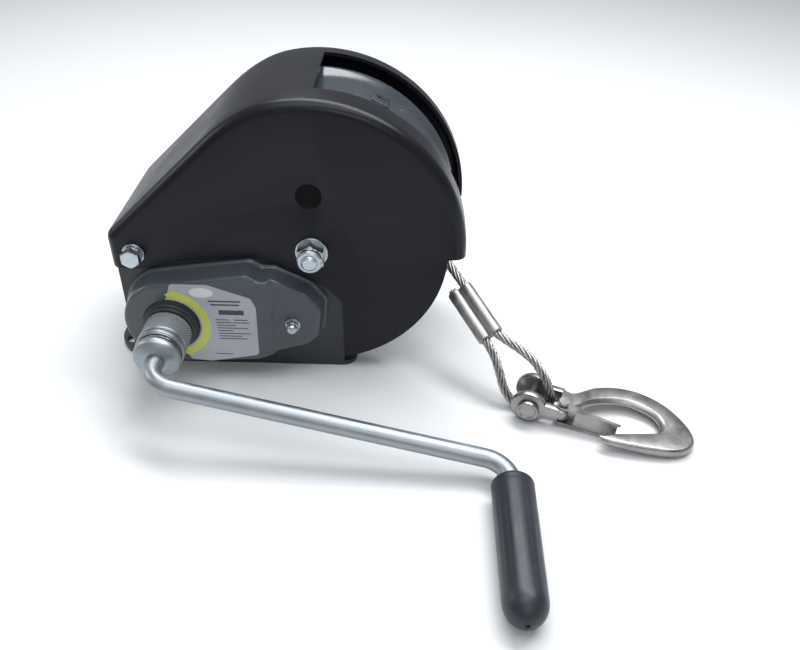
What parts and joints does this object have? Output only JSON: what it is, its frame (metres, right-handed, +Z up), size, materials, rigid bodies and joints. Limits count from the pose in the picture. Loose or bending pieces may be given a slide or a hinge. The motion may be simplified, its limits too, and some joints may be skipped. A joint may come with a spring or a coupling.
{
  "type": "boat trailer winch",
  "caption": "Hand winch with a geared rope drum, automatic friction brake, moulded cover, removable crank and a wire rope ending in a latched hook.",
  "frame": {"origin": "centre of the four base slots, on the underside of the base", "axes": "+Z up; +X along the base to the side where the rope leaves; -Y towards the crank"},
  "size_m": [0.4473, 0.3682, 0.221],
  "materials": {
    "frame_paint": "satin blue-grey paint",
    "cover_plastic": "black moulded plastic with a fine moulded skin",
    "guard_plastic": "smooth dark blue-grey gloss",
    "housing_paint": "satin blue-grey paint over a pressing",
    "label_film": null,
    "zinc": "bright zinc plate",
    "dark_steel": "oiled plain steel",
    "bush_bronze": "sintered bronze",
    "friction_pad": "pressed friction lining",
    "black_steel": "black oxide",
    "rope_wire": "galvanised wire strands",
    "ferrule_alloy": "pressed alloy, dull",
    "hook_zinc": "forged steel, bright zinc plate",
    "crank_zinc": "satin zinc plate",
    "grip_rubber": "moulded charcoal grip"
  },
  "bodies": {
    "winch_frame": {"frame": "frame_paint", "cover": "cover_plastic", "rope_guard": "guard_plastic", "gear_cover": "housing_paint", "label": "label_film", "axle_bolt": "zinc", "axle_nut": "zinc", "axle_washers": "zinc", "axle_spacer": "dark_steel", "tie_bolt": "zinc", "tie_nut": "zinc", "tie_washers": "zinc", "tie_spacer": "dark_steel", "shaft_bushes": "bush_bronze", "ratchet_wheel": "dark_steel", "pawl_pin": "zinc", "pawl_spring": "dark_steel", "cover_stud": "zinc", "cover_nut": "zinc", "free_rope": "rope_wire", "ferrule": "ferrule_alloy"},
    "rope_drum": {"drum": "frame_paint", "drum_gear": "dark_steel", "drum_bushes": "bush_bronze", "rope_winding": "rope_wire", "rope_clamp": "zinc", "clamp_screws": "zinc"},
    "drive_shaft": {"pinion_shaft": "dark_steel", "shaft_circlip": "black_steel", "brake_hub": "dark_steel", "friction_discs": "friction_pad", "drive_hub": "black_steel"},
    "crank": {"crank_rod": "crank_zinc", "crank_socket": "crank_zinc", "locking_balls": "dark_steel", "sleeve_spring": "dark_steel", "grip_clip": "dark_steel"},
    "release_sleeve": {"knurled_sleeve": "crank_zinc"},
    "hand_grip": {"grip": "grip_rubber"},
    "brake_pawl": {"pawl": "dark_steel"},
    "load_hook": {"hook": "hook_zinc", "clevis_pin": "hook_zinc", "pin_clip": "hook_zinc", "latch_rivet": "hook_zinc", "latch_spring": "hook_zinc"},
    "hook_latch": {"latch": "hook_zinc"}
  },
  "joints": [
    {"name": "drum_spin", "type": "hinge", "parent": "winch_frame", "child": "rope_drum", "pos_m": [0.069, 0, 0.1084], "axis": [0, -1, 0], "continuous": true},
    {"name": "drive_spin", "type": "hinge", "parent": "winch_frame", "child": "drive_shaft", "pos_m": [-0.03763, 0, 0.05336], "axis": [0, -1, 0], "continuous": true},
    {"name": "crank_pull", "type": "slide", "parent": "drive_shaft", "child": "crank", "axis": [0, -1, 0], "range_m": [0, 0.024]},
    {"name": "sleeve_slide", "type": "slide", "parent": "crank", "child": "release_sleeve", "axis": [0, -1, 0], "range_m": [0, 0.0025], "stiffness_N_per_m": 800, "springref_m": -0.003},
    {"name": "grip_spin", "type": "hinge", "parent": "crank", "child": "hand_grip", "pos_m": [0.21242, -0.24, 0.01487], "axis": [0, -1, 0], "continuous": true},
    {"name": "pawl_swing", "type": "hinge", "parent": "winch_frame", "child": "brake_pawl", "pos_m": [0.00169, -0.066, 0.06245], "axis": [0, -1, 0], "range_deg": [0, 12], "stiffness_Nm_per_rad": 0.05, "springref_deg": -11.46},
    {"name": "hook_swing", "type": "hinge", "parent": "winch_frame", "child": "load_hook", "pos_m": [0.234, -0.1045, 0.0135], "axis": [-0.2756, -0.9613, 0], "range_deg": [-100, 30]},
    {"name": "latch_swing", "type": "hinge", "parent": "load_hook", "child": "hook_latch", "pos_m": [0.2548, -0.11879, 0.01166], "axis": [0.0737, -0.0211, 0.9971], "range_deg": [0, 26], "stiffness_Nm_per_rad": 0.03, "springref_deg": -17.19}
  ],
  "couplings": [
    {"joint": "drive_spin", "follows": "drum_spin", "ratio": -4.7143}
  ]
}
